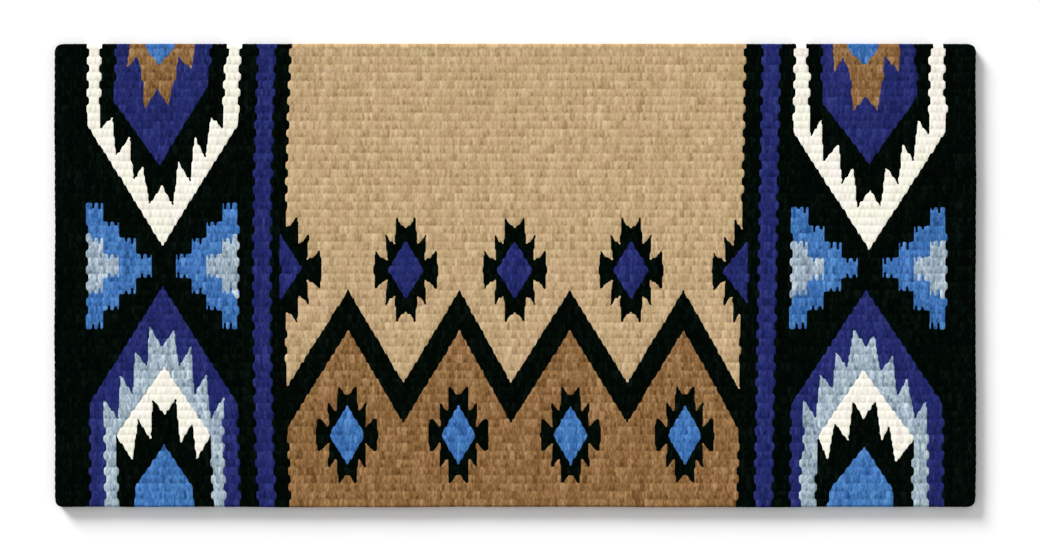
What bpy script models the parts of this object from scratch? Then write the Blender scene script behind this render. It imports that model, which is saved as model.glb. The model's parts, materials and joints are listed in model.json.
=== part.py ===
"""A woven wool saddle blanket, folded in half over its spine line and lying flat.

The cloth is a weft-faced tapestry. Hidden warp cords run across the blanket from end to end. The wool
that shows is the weft, which runs down each leaf from the fold to the drop edge, over and under the
cords. Every colour area is a weft yarn of its own, turned back where the next colour begins. So a leaf
is built as a layer of warps with a layer of weft on each side, and on the upper leaf's outer face each
colour area is a piece of its own.

X runs across the blanket, +Y points at the fold and +Z out of the upper leaf. The origin is under the
middle of the folded blanket. Both leaves and the fold between them open out flat about two hinge lines,
one at each end of the fold's arc.
"""

import math

import bmesh
import bpy
from mathutils import Vector
from mathutils.geometry import tessellate_polygon

# The weave sets every size in the cloth's plane, in metres: a pick is the step from one weft to the next
# across the blanket, and a rib is the step from one warp cord to the next down the leaf.
PICK_WIDTH = 0.00248
RIB_WIDTH = 0.00798

# Through the cloth
WEFT_THICKNESS = 0.0016
WARP_THICKNESS = 0.0012
CLEARANCE = 0.0003
LEAF_GAP = 0.0003
CORNER_RADIUS = 0.008

# A hand-woven border doesn't run quite straight: the left one bows out in the middle of the leaf and the
# right one leans. Within the field both die away over a number of picks.
LEFT_BOW_WIDTH = 0.005
RIGHT_LEAN_WIDTH = 0.004
FADE_SHARE = 20
DRIFT_STEP_SHARE = 6

CORNER_STEPS = 6
FOLD_STEPS = 14
SMOOTH_BELOW = math.radians(30)

# Every share across counts in picks and every share down in ribs, as a weaver counts them.
# The bands beside each border's motifs: at the blanket's end, inside the motifs, the stripe, and the
# band at the field
LEFT_BAND_SHARES = (13.5, 6.5, 7.5, 6)
RIGHT_BAND_SHARES = (13, 6, 7, 7)

# The outlines of a border count from the middle of its motifs and from the fold. Both borders have the
# same motifs, and each motif differs a little between them and between its two sides, as the weaver left
# it. A stepped terrace stands on the motif's long side and climbs towards its middle.
LEFT_BORDER_SHARES = {
    "frame_outer": [(-30.5, 0), (-30.5, 9.5), (0.5, 24.5), (30.5, 9.5), (30.5, 0)],
    "frame_inner": [
        (-25.5, 0), (-25.5, 10), (-20.5, 8.5), (-19, 13.5), (-13.5, 11), (-11.5, 16.5),
        (-8, 14.5), (-5, 19.5), (0, 17), (4.5, 19.5), (6.5, 14), (11.5, 16.5),
        (13, 11), (17.5, 13.5), (19.5, 8.5), (24.5, 10), (25, 0),
    ],
    "core": [(-20, 0), (-20, 6.5), (-1, 14.5), (18, 4.5), (18, 0)],
    "crown": [
        (-14, 0), (-15, 2.5), (-11, 1), (-9.5, 2), (-7.5, 7.5), (-2.5, 5),
        (2, 7), (5, 2.5), (5.5, 1), (11, 2.5), (12, 0),
    ],
    "sky_tip": [(-7.5, 0), (-2, 2), (4, 0)],
    "terrace_middle": 27,
    "blue_heights": [7.8, 5.5, 3.5, 1.5],
    "pale_heights": [3.5, 1.5],
    "chevron": [(-29.5, 57), (-29.5, 44), (0.5, 29.5), (30.5, 44), (30.5, 57)],
    "pale": [
        (-24, 57), (-24, 43.5), (-18, 46), (-17, 40.5), (-12, 43), (-11, 37.5),
        (-6, 39.5), (-5, 34.5), (0, 37), (5, 35), (7, 39.5), (12, 37),
        (13, 43), (18, 40.5), (19.5, 46), (25, 43.3), (24.5, 57),
    ],
    "cream_outer": [(-19, 48), (1, 39.5), (19.5, 48)],
    "cream_inner": [
        (-12.5, 51), (-10, 46), (-5, 48.5), (-4, 43.5), (1, 45.5),
        (5.5, 43.5), (7, 49), (12, 46.5), (13.5, 51),
    ],
    "lining_feet": [(-19, 57), (19.5, 57)],
    "sky_core": [(-12, 57), (-11.7, 54.5), (0.5, 49.2), (11.2, 54.3), (11.8, 57)],
}
RIGHT_BORDER_SHARES = {
    "frame_outer": [(-30.5, 0), (-30.3, 10.5), (0.6, 24.9), (31.2, 10.2), (30.5, 0)],
    "frame_inner": [
        (-25.7, 0), (-23.6, 11.2), (-19.4, 8.7), (-18.3, 14), (-12.2, 11.8), (-10.7, 16.8),
        (-6.1, 14.7), (-4.5, 19.8), (0.8, 17.5), (4.9, 19.7), (7, 14.6), (12, 16.8),
        (13.7, 11.8), (18, 13.9), (19.8, 8.9), (24.2, 10.7), (25, 0),
    ],
    "core": [(-20, 0), (-19, 6.7), (0.2, 14.3), (19.5, 6), (18.3, 0)],
    "crown": [
        (-15.2, 0), (-14.4, 2.8), (-10.9, 1.2), (-8.5, 2.5), (-6.5, 7.7), (-1.6, 6),
        (3.4, 7.6), (5.6, 2.5), (6.1, 1), (11.9, 2.8), (12.4, 0),
    ],
    "sky_tip": [(-9.3, 0), (-2, 2.1), (3.6, 0)],
    "terrace_middle": 27.2,
    "blue_heights": [7.6, 5.3, 3.1, 1.3],
    "pale_heights": [3.4, 1.5],
    "chevron": [(-30, 57), (-29.5, 44.1), (-0.5, 30), (30, 44), (30.4, 57)],
    "pale": [
        (-25.2, 57), (-24.9, 43.6), (-19.9, 45.8), (-18.2, 40.5), (-13.4, 42.2), (-12.2, 37.6),
        (-7.7, 39.6), (-5.1, 34.8), (-0.5, 37), (2.9, 35.6), (5.5, 40.1), (10.3, 38.2),
        (12.1, 43.3), (16, 41), (19.2, 45.9), (23.6, 43.7), (24.7, 57),
    ],
    "cream_outer": [(-18.8, 48.1), (-1.3, 39.9), (19, 48.4)],
    "cream_inner": [
        (-14.8, 51.2), (-12.4, 46.4), (-7, 48.7), (-5.3, 43.7), (-0.8, 45.9),
        (3.8, 43.7), (6.1, 48.7), (9.3, 46.8), (11.8, 51.5),
    ],
    "lining_feet": [(-19.9, 57), (18.6, 57)],
    "sky_core": [(-14.1, 57), (-14.1, 54.9), (-0.5, 49.5), (10.7, 54.7), (10.6, 57)],
}
TERRACE_FOOT_SHARE = 31
TERRACE_STEP_SHARES = (6.75, -6.25)

# In the field the columns count picks from its left edge. A zigzag band parts sand from brown: a sky
# diamond stands under each of its peaks and a navy one over each dip, with half of one at either end.
ZIGZAG_SHARES = [
    (0, 42), (23, 30), (45, 41.5), (67.5, 30), (88, 41.5),
    (111.5, 30), (134.5, 41.5), (157, 30), (180, 42.4),
]
ZIGZAG_DEPTH_SHARE = 5
RIM_QUARTER_SHARES = [
    (0, 5.1), (3.9, 6.45), (4.5, 3.1), (8.1, 4.3), (7.5, 1.1), (12.2, 2.3), (12.9, 0),
]
NAVY_CENTRE_SHARES = [(46, 27.5), (89.5, 27.5), (136, 27.5)]
NAVY_HALF_SIZE_SHARES = (7.2, 3.6)
NAVY_RIM_SHARE = 1
SKY_CENTRE_SHARES = [(22.6, 48), (67, 48), (111.8, 48), (157.6, 48)]
SKY_HALF_SIZE_SHARES = (7, 3.7)
SKY_RIM_SHARE = 0.95
LEFT_RIM_CENTRE_SHARES = (0.2, 27.45)
LEFT_HALF_SHARES = [(-2.5, 23), (-2.5, 31.4), (6, 27.2)]
RIGHT_RIM_CENTRE_SHARES = (181.1, 27.65)
RIGHT_HALF_SHARES = [(182.5, 23.8), (172.4, 27.7), (182.5, 31.6)]

# Yarn colours, as linear red, green and blue
BLACK = (0.004, 0.005, 0.005)
NAVY = (0.018, 0.022, 0.125)
WHITE = (0.86, 0.83, 0.74)
SAND = (0.53, 0.37, 0.2)
BROWN = (0.24, 0.13, 0.05)
SKY = (0.05, 0.17, 0.43)
PALE = (0.33, 0.42, 0.5)
CORD = (0.62, 0.57, 0.46)
WOOL_ROUGHNESS = 0.9

# Worked out from the sizes above
MOTIF_SHARE = LEFT_BORDER_SHARES["frame_outer"][-1][0] - LEFT_BORDER_SHARES["frame_outer"][0][0]
LEAF_SHARE = LEFT_BORDER_SHARES["chevron"][0][1]
FIELD_SHARE = ZIGZAG_SHARES[-1][0]
LEFT_SHARE = MOTIF_SHARE + sum(LEFT_BAND_SHARES)
RIGHT_SHARE = MOTIF_SHARE + sum(RIGHT_BAND_SHARES)
WIDTH_SHARE = LEFT_SHARE + FIELD_SHARE + RIGHT_SHARE
WIDTH = WIDTH_SHARE * PICK_WIDTH
LEAF_THICKNESS = 2 * WEFT_THICKNESS + WARP_THICKNESS + 2 * CLEARANCE
LEAF_PITCH = LEAF_THICKNESS + LEAF_GAP
HEIGHT = LEAF_THICKNESS + LEAF_PITCH
FOLD_RADIUS = HEIGHT / 2
LEAF_LENGTH = LEAF_SHARE * RIB_WIDTH
DEPTH = LEAF_LENGTH + CLEARANCE / 2 + FOLD_RADIUS
FOLD_LINE = DEPTH / 2 - FOLD_RADIUS - CLEARANCE / 2
FIELD_START = LEFT_SHARE
FIELD_END = LEFT_SHARE + FIELD_SHARE


# The cloth's plane

def fade(distance, rise, level):
    """0 at the blanket's end, 1 from the motifs' inner side to the field's edge, and 0 again inside it."""
    if distance < rise:
        return distance / rise
    return max(0, 1 - max(0, distance - level) / FADE_SHARE)


def drift(across, down):
    """How far the weave has wandered sideways at this pick and rib."""
    share = down / LEAF_SHARE
    left = fade(across, LEFT_BAND_SHARES[0] + MOTIF_SHARE, LEFT_SHARE)
    right = fade(WIDTH_SHARE - across, RIGHT_BAND_SHARES[0] + MOTIF_SHARE, RIGHT_SHARE)
    return RIGHT_LEAN_WIDTH * (1 - 2 * share) * right - LEFT_BOW_WIDTH * 4 * share * (1 - share) * left


def on_leaf(across, down):
    """The place in metres of a point given in picks from the left end and ribs from the fold."""
    x = (across - WIDTH_SHARE / 2) * PICK_WIDTH + drift(across, down)
    return Vector((x, FOLD_LINE - down * RIB_WIDTH))


def moved(shares, across, down=0):
    """An outline moved to its own place on the leaf."""
    return [(across + x, down + y) for x, y in shares]


def mirrored(shares):
    """An outline turned over across its middle, still running the same way round."""
    return [(-x, y) for x, y in reversed(shares)]


def sorted_from(end, outline):
    """An outline that runs from side to side, started from the side nearer to an end of the blanket."""
    nearer = abs(outline[0][0] - end) < abs(outline[-1][0] - end)
    return outline if nearer else outline[::-1]


def sized(shares, share):
    """An outline made larger or smaller about its middle."""
    return [(share * x, share * y) for x, y in shares]


def refined(outline):
    """The outline with its long runs down the leaf cut into steps, so that they can follow the drift."""
    points = []
    for (across, down), (next_across, next_down) in zip(outline, outline[1:] + outline[:1]):
        steps = max(1, math.ceil(abs(next_down - down) / DRIFT_STEP_SHARE))
        for step in range(steps):
            share = step / steps
            points.append((across + share * (next_across - across), down + share * (next_down - down)))
    return points


def signed_area(loop):
    """Positive where the loop runs anticlockwise."""
    return sum(a.x * b.y - b.x * a.y for a, b in zip(loop, loop[1:] + loop[:1])) / 2


def shifted(loop, distance):
    """The loop with every side moved to its left by the distance, and its corners kept sharp."""
    moved_loop = []
    for before, point, after in zip(loop[-1:] + loop[:-1], loop, loop[1:] + loop[:1]):
        into = (point - before).normalized()
        out = (after - point).normalized()
        normal = Vector((-into.y, into.x)) + Vector((-out.y, out.x))
        moved_loop.append(point + normal * distance / (1 + into.dot(out)))
    return moved_loop


# Solids

def finished(name, colour, shell, carrier, smooth=False):
    """Make a named object of the shell, in its own yarn colour, carried by an axis if it moves."""
    bmesh.ops.recalc_face_normals(shell, faces=shell.faces)
    mesh = bpy.data.meshes.new(name)
    shell.to_mesh(mesh)
    shell.free()
    if smooth:
        mesh.shade_smooth()
        mesh.set_sharp_from_angle(angle=SMOOTH_BELOW)
    yarn = bpy.data.materials.new(name)
    yarn.use_nodes = True
    surface = yarn.node_tree.nodes["Principled BSDF"]
    surface.inputs["Base Color"].default_value = (*colour, 1)
    surface.inputs["Roughness"].default_value = WOOL_ROUGHNESS
    surface.inputs["Metallic"].default_value = 0
    mesh.materials.append(yarn)
    piece = bpy.data.objects.new(name, mesh)
    bpy.context.scene.collection.objects.link(piece)
    if carrier:
        piece.parent = carrier
        piece.matrix_parent_inverse = carrier.matrix_world.inverted()


def flat_piece(name, colour, loops, low, thickness, carrier):
    """A flat piece of cloth from its outline and holes, all in metres."""
    shell = bmesh.new()
    rings = []
    for loop in loops:
        rings.append([shell.verts.new((point.x, point.y, low)) for point in loop])
    flat = [vertex for ring in rings for vertex in ring]
    for corners in tessellate_polygon([[vertex.co for vertex in ring] for ring in rings]):
        shell.faces.new([flat[corner] for corner in corners])
    grown = bmesh.ops.extrude_face_region(shell, geom=shell.faces[:])
    top = [part for part in grown["geom"] if isinstance(part, bmesh.types.BMVert)]
    bmesh.ops.translate(shell, vec=(0, 0, thickness), verts=top)
    finished(name, colour, shell, carrier)


def colour_area(name, colour, outline, *holes):
    """One yarn's area on the upper leaf's outer face, drawn in by half the clearance all round."""
    loops = []
    for number, shares in enumerate((outline, *holes)):
        loop = [on_leaf(across, down) for across, down in refined(shares)]
        if (signed_area(loop) > 0) != (number == 0):
            loop.reverse()
        loops.append(shifted(loop, CLEARANCE / 2))
    flat_piece(name, colour, loops, HEIGHT - WEFT_THICKNESS, WEFT_THICKNESS, upper_axis)


def corner(end, field):
    """The drop edge's rounded corner at one end of the blanket, from that end round towards the field."""
    side = math.copysign(1, field - end)
    points = []
    for step in range(CORNER_STEPS + 1):
        angle = math.pi / 2 * step / CORNER_STEPS
        inwards = CORNER_RADIUS * (1 - math.cos(angle)) / PICK_WIDTH
        short_of_edge = CORNER_RADIUS * (1 - math.sin(angle)) / RIB_WIDTH
        points.append((end + side * inwards, LEAF_SHARE - short_of_edge))
    return points


def layer(name, colour, low, thickness, carrier=None):
    """One whole layer of a leaf, from the fold to the drop edge."""
    outline = []
    for across, down in corner(0, FIELD_START) + corner(WIDTH_SHARE, FIELD_END)[::-1]:
        outline.append(Vector(((across - WIDTH_SHARE / 2) * PICK_WIDTH, FOLD_LINE - down * RIB_WIDTH)))
    fold_side = FOLD_LINE - CLEARANCE / 2
    outline += [Vector((WIDTH / 2, fold_side)), Vector((-WIDTH / 2, fold_side))]
    flat_piece(name, colour, [outline], low, thickness, carrier)


def drawn_in(y):
    """How far the rounded corner at the fold draws the cloth's end in, at this distance up the leaf."""
    depth = max(0, DEPTH / 2 - y)
    reach = max(0, CORNER_RADIUS - depth)
    return CORNER_RADIUS - math.sqrt(CORNER_RADIUS**2 - reach**2)


def fold_piece(name, colour, outer_radius, inner_radius):
    """A layer of the cloth where it turns over the fold, as a half ring from one leaf to the other."""
    centre = Vector((FOLD_LINE + CLEARANCE / 2, FOLD_RADIUS))
    profile = []
    for radius, way in ((outer_radius, 1), (inner_radius, -1)):
        arc = []
        for step in range(FOLD_STEPS + 1):
            angle = math.pi * step / FOLD_STEPS
            arc.append(centre + radius * Vector((math.sin(angle), -math.cos(angle))))
        if radius:
            profile += arc[::way]
    shell = bmesh.new()
    ends = []
    for sign in (-1, 1):
        ring = [shell.verts.new((sign * (WIDTH / 2 - drawn_in(p.x)), p.x, p.y)) for p in profile]
        ends.append(ring)
        for corners in tessellate_polygon([[point.to_3d() for point in profile]]):
            shell.faces.new([ring[corner] for corner in corners])
    left, right = ends
    for number in range(len(profile)):
        after = (number + 1) % len(profile)
        shell.faces.new((left[number], left[after], right[after], right[number]))
    finished(name, colour, shell, lower_axis, smooth=True)


# Outlines that follow a rule

def terrace(step, middle, heights):
    """A terrace about its middle rib, whose steps climb from its foot towards +across for a positive step."""
    foot = -math.copysign(TERRACE_FOOT_SHARE, step)
    upper = []
    for number, height in enumerate(heights):
        upper.append((foot + number * step, middle - height))
        upper.append((foot + (number + 1) * step, middle - height))
    lower = [(across, 2 * middle - down) for across, down in reversed(upper)]
    return upper + lower


def half_rim():
    """The serrated rim's right half, from its top notch down to its bottom notch."""
    upper = [(across, -up) for across, up in RIM_QUARTER_SHARES]
    lower = [(across, up) for across, up in reversed(RIM_QUARTER_SHARES[:-1])]
    return upper + lower


def whole_rim():
    """The serrated rim all round."""
    right = half_rim()
    left = mirrored(right)
    return right + left[1:-1]


def side_rim(half, centre, edge):
    """The part of a rim that stands in the field, with its two notches brought to the field's edge."""
    rim = moved(half, FIELD_START + centre[0], centre[1])
    return [(edge, rim[0][1]), *rim[1:-1], (edge, rim[-1][1])]


def diamond(wide, high):
    """A plain diamond about its own middle, from its half width and half height."""
    return [(0, -high), (wide, 0), (0, high), (-wide, 0)]


# The upper leaf's colour areas

def add_border(side, end, field, bands, shares):
    """One border's areas, between one end of the blanket and the field."""
    inwards = math.copysign(1, field - end)
    end_band, _, stripe_band, field_band = bands
    motif = end + inwards * (end_band + MOTIF_SHARE / 2)
    stripe_near = field - inwards * field_band
    stripe_far = stripe_near - inwards * stripe_band
    frame_outer = moved(shares["frame_outer"], motif)
    frame_inner = moved(shares["frame_inner"], motif)
    core = moved(shares["core"], motif)
    crown = moved(shares["crown"], motif)
    sky_tip = moved(shares["sky_tip"], motif)
    chevron = moved(shares["chevron"], motif)
    pale = moved(shares["pale"], motif)
    cream_outer = moved(shares["cream_outer"], motif)
    cream_inner = moved(shares["cream_inner"], motif)
    lining_feet = moved(shares["lining_feet"], motif)
    sky_core = moved(shares["sky_core"], motif)
    middle = shares["terrace_middle"]
    blue = [moved(terrace(step, middle, shares["blue_heights"]), motif) for step in TERRACE_STEP_SHARES]
    pale_steps = [moved(terrace(step, middle, shares["pale_heights"]), motif) for step in TERRACE_STEP_SHARES]

    fold_side = [(end, 0), *sorted_from(end, frame_outer), (stripe_far, 0)]
    drop_side = [*corner(end, field), *sorted_from(end, chevron), (stripe_far, LEAF_SHARE)]
    colour_area(side + "_border_ground", BLACK, fold_side + drop_side[::-1], *blue)
    colour_area(side + "_white_frame", WHITE, frame_outer + frame_inner[::-1])
    colour_area(side + "_frame_lining", BLACK, frame_inner + core[::-1])
    colour_area(side + "_navy_core", NAVY, core + crown[::-1])
    colour_area(side + "_brown_crown", BROWN, crown + sky_tip[::-1])
    colour_area(side + "_sky_tip", SKY, sky_tip)
    for letter, blue_steps, inner_steps in zip("ab", blue, pale_steps):
        # both stand on the same foot, so the blue goes round the pale as a hook
        colour_area(f"{side}_blue_terrace_{letter}", SKY, blue_steps + inner_steps[::-1])
        colour_area(f"{side}_pale_terrace_{letter}", PALE, inner_steps)
    colour_area(side + "_navy_chevron", NAVY, chevron + pale[::-1])
    pale_inner = [lining_feet[0], *cream_outer, lining_feet[1]]
    colour_area(side + "_pale_chevron", PALE, pale + pale_inner[::-1])
    colour_area(side + "_cream_chevron", WHITE, cream_outer + cream_inner[::-1])
    lining = [lining_feet[0], cream_outer[0], *cream_inner, cream_outer[-1], lining_feet[1]]
    colour_area(side + "_chevron_lining", BLACK, lining + sky_core[::-1])
    colour_area(side + "_sky_core", SKY, sky_core)
    stripe = [(stripe_near, 0), (stripe_far, 0), (stripe_far, LEAF_SHARE), (stripe_near, LEAF_SHARE)]
    colour_area(side + "_navy_stripe", NAVY, stripe)


def add_field():
    """The sand and brown field with its black lattice and its rows of diamonds."""
    left_rim = side_rim(half_rim(), LEFT_RIM_CENTRE_SHARES, FIELD_START)
    right_rim = side_rim(mirrored(half_rim()), RIGHT_RIM_CENTRE_SHARES, FIELD_END)
    upper = moved(ZIGZAG_SHARES, FIELD_START)
    lower = moved(upper, 0, ZIGZAG_DEPTH_SHARE)
    halves = [moved(LEFT_HALF_SHARES, FIELD_START), moved(RIGHT_HALF_SHARES, FIELD_START)]
    first, last = FIELD_START - LEFT_BAND_SHARES[-1], FIELD_END + RIGHT_BAND_SHARES[-1]
    lattice = [
        (first, 0), (first, LEAF_SHARE), (FIELD_START, LEAF_SHARE), *lower, (FIELD_END, LEAF_SHARE),
        (last, LEAF_SHARE), (last, 0), (FIELD_END, 0),
        *reversed(right_rim), *reversed(upper), *reversed(left_rim), (FIELD_START, 0),
    ]
    colour_area("field_lattice", BLACK, lattice, *halves)
    for side, half in zip(("left", "right"), halves):
        colour_area(side + "_half_diamond", NAVY, half)

    navy_rims = rims(NAVY_CENTRE_SHARES, NAVY_RIM_SHARE)
    sky_rims = rims(SKY_CENTRE_SHARES, SKY_RIM_SHARE)
    sand = [(FIELD_START, 0), *left_rim, *upper, *right_rim, (FIELD_END, 0)]
    colour_area("sand_field", SAND, sand, *navy_rims)
    brown = [*lower, (FIELD_END, LEAF_SHARE), (FIELD_START, LEAF_SHARE)]
    colour_area("brown_field", BROWN, brown, *sky_rims)
    add_diamonds("navy", NAVY, NAVY_CENTRE_SHARES, NAVY_HALF_SIZE_SHARES, navy_rims)
    add_diamonds("sky", SKY, SKY_CENTRE_SHARES, SKY_HALF_SIZE_SHARES, sky_rims)


def rims(centres, share):
    """The outlines of a row of rims, one at each place in the field."""
    return [moved(sized(whole_rim(), share), FIELD_START + across, down) for across, down in centres]


def add_diamonds(yarn, colour, centres, half_size, outlines):
    """A row of diamonds, each in its own black rim."""
    for number, ((across, down), rim) in enumerate(zip(centres, outlines), 1):
        heart = moved(diamond(*half_size), FIELD_START + across, down)
        colour_area(f"{yarn}_rim_{number}", BLACK, rim, heart)
        colour_area(f"{yarn}_diamond_{number}", colour, heart)


# Build

for old in list(bpy.data.objects):
    bpy.data.objects.remove(old, do_unlink=True)

# The cloth's middle line keeps its length as the half ring opens out, if each hinge line lies here
neutral_radius = LEAF_PITCH / 2
hinge_y = FOLD_LINE + CLEARANCE / 2 + neutral_radius * math.pi / 4
hinge_rise = neutral_radius * (1 - math.pi / 4)
lower_axis = bpy.data.objects.new("lower_fold_axis", None)
lower_axis.location = (0, hinge_y, LEAF_THICKNESS / 2 + hinge_rise)
upper_axis = bpy.data.objects.new("upper_fold_axis", None)
upper_axis.location = (0, hinge_y, HEIGHT - LEAF_THICKNESS / 2 - hinge_rise)
for axis in (lower_axis, upper_axis):
    bpy.context.scene.collection.objects.link(axis)
bpy.context.view_layer.update()
upper_axis.parent = lower_axis
upper_axis.matrix_parent_inverse = lower_axis.matrix_world.inverted()
bpy.context.view_layer.update()

warps_low = WEFT_THICKNESS + CLEARANCE
inner_low = warps_low + WARP_THICKNESS + CLEARANCE
layer("lower_outer_weft", SAND, 0, WEFT_THICKNESS)
layer("lower_warps", CORD, warps_low, WARP_THICKNESS)
layer("lower_inner_weft", SAND, inner_low, WEFT_THICKNESS)
layer("upper_inner_weft", SAND, LEAF_PITCH, WEFT_THICKNESS, upper_axis)
layer("upper_warps", CORD, LEAF_PITCH + warps_low, WARP_THICKNESS, upper_axis)

fold_piece("fold_outer_weft", BLACK, FOLD_RADIUS, FOLD_RADIUS - WEFT_THICKNESS)
fold_piece("fold_warps", CORD, FOLD_RADIUS - warps_low, FOLD_RADIUS - warps_low - WARP_THICKNESS)
fold_piece("fold_inner_weft", SAND, FOLD_RADIUS - inner_low, 0)

add_border("left", 0, FIELD_START, LEFT_BAND_SHARES, LEFT_BORDER_SHARES)
add_border("right", WIDTH_SHARE, FIELD_END, RIGHT_BAND_SHARES, RIGHT_BORDER_SHARES)
add_field()
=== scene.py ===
# %% [markdown]
# # A folded saddle blanket, woven stroke by stroke
#
# The real blanket is a weft-faced tapestry. Thick warp cords run across it, hidden inside. The wool that
# shows is the weft: each yarn runs down the blanket, over one cord and under the next, and the yarns are
# beaten so close together that the cords vanish. What the eye sees is a brick pattern of short plump
# strokes, each two picks wide and one rib long, and every colour area is a yarn of its own.
#
# A picture of a weave on flat boards would fall apart as soon as the light moves. So here the strokes are
# real geometry, and the solids of the part give the outline of each colour area, the thickness and the fold.

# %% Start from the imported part
import json
import math

import bpy
import numpy as np
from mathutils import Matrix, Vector

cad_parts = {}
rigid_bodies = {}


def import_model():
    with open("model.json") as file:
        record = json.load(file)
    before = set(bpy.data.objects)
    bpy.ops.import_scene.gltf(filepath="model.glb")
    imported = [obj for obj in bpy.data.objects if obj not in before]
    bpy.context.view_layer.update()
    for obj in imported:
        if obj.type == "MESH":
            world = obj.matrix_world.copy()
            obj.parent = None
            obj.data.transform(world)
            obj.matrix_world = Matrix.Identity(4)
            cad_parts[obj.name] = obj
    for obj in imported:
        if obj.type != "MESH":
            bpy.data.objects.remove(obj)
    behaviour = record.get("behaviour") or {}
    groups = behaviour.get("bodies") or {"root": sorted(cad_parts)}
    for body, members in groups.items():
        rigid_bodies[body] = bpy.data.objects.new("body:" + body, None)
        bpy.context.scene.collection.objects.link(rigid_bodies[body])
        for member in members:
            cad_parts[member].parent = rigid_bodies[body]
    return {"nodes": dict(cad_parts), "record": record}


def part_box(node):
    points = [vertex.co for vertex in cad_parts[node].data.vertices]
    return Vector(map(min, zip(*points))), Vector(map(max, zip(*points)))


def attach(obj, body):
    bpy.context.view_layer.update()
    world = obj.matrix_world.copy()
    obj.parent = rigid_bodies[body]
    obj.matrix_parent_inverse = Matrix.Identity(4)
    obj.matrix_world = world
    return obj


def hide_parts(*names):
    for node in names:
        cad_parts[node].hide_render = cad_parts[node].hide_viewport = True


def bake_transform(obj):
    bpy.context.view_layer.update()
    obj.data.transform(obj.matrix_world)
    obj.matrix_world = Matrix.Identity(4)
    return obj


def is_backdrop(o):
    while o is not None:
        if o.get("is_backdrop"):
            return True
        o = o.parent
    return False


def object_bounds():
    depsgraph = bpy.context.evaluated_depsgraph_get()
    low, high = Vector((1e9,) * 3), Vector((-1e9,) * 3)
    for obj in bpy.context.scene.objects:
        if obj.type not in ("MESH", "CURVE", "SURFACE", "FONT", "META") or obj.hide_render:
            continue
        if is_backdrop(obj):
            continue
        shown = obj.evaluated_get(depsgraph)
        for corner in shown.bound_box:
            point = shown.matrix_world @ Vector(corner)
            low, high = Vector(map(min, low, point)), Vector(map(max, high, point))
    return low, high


for old in list(bpy.data.objects):
    bpy.data.objects.remove(old, do_unlink=True)
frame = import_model()
cad_low, cad_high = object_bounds()
print("part box", tuple(cad_low), tuple(cad_high))

# %% [markdown]
# ## The cloth's sizes
#
# The leaves, the fold and the thickness are read from the part's nodes, so the dressed blanket can't drift
# away from the solids. The middle surface of the cloth is the useful idea: it runs flat through one leaf,
# round the fold on a small radius, and flat through the other leaf. Both faces of the cloth are that
# surface moved out by half the thickness, less the relief of the weave.

# %% Sizes from the part
CORD_CLEARANCE = 0.0003
warps_low, warps_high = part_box("upper_warps")
fold_low, fold_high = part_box("fold_outer_weft")
half_width = warps_high.x
drop_line = warps_low.y
fold_y = fold_low.y
fold_z = (fold_low.z + fold_high.z) / 2
upper_middle = (warps_low.z + warps_high.z) / 2
fold_middle_radius = upper_middle - fold_z
half_cloth = cad_high.z - upper_middle
core_half = (warps_high.z - warps_low.z) / 2 + CORD_CLEARANCE
lower_middle = 2 * fold_z - upper_middle
print("half cloth", half_cloth, "fold radius", fold_middle_radius)

# %% The weave's grid
PICK_WIDTH = 0.00248
RIB_WIDTH = 0.00798
picks = 2 * half_width / PICK_WIDTH
flat_length = fold_y - drop_line - half_cloth
RIBS = int(flat_length / RIB_WIDTH)
print(RIBS, "whole ribs,", round(picks, 2), "picks")

# %% [markdown]
# ## Hand-woven drift
#
# No hand-woven border runs quite straight. On the part the left border bows out and the right one leans,
# and the strokes have to lean with them, or the bands would climb in steps. So the strokes drift by the
# same rule and the same sizes as the part's outlines.

# %% Drift of the picks
LEFT_PICKS = 94.5
RIGHT_PICKS = 94
MOTIF_PICKS = 61
LEFT_END_PICKS = 13.5
RIGHT_END_PICKS = 13
FADE_PICKS = 20
LEFT_BOW_WIDTH = 0.005
RIGHT_LEAN_WIDTH = 0.004
LEAF_RIBS = 57


def fade(distance, rise, level):
    """0 at the blanket's end, 1 from the motifs to the field, and 0 again inside the field."""
    return np.clip(np.minimum(distance / rise, 1 - (distance - level) / FADE_PICKS), 0, 1)


def drift(pick, down):
    """How far a pick has wandered sideways at this many ribs from the fold."""
    share = np.clip(down / LEAF_RIBS, 0, 1)
    left = fade(pick, LEFT_END_PICKS + MOTIF_PICKS, LEFT_PICKS)
    right = fade(picks - pick, RIGHT_END_PICKS + MOTIF_PICKS, RIGHT_PICKS)
    return RIGHT_LEAN_WIDTH * (1 - 2 * share) * right - LEFT_BOW_WIDTH * 4 * share * (1 - share) * left


widest = np.abs(drift(np.arange(picks), LEAF_RIBS / 2)).max()
print("the left border bows out by", round(1000 * widest, 2), "mm")

# %% [markdown]
# ## A map of the colour areas
#
# The upper leaf's nodes say which yarn goes where. A ray could be cast at the solids for every stroke, but
# that is slow and falls into the hairline gaps between them. So their top faces are drawn into a map of
# small cells, and the gaps are filled from the cells beside. After that the area under any place is one
# look into the map.

# %% Draw the areas into the map
CELL = 0.0003
TOP_TOLERANCE = 0.0001
UPWARDS = 0.9
map_shape = (int((cad_high.y - drop_line) / CELL) + 2, int(2 * half_width / CELL) + 2)
area_map = np.full(map_shape, -1, np.int16)
areas = []


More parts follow.
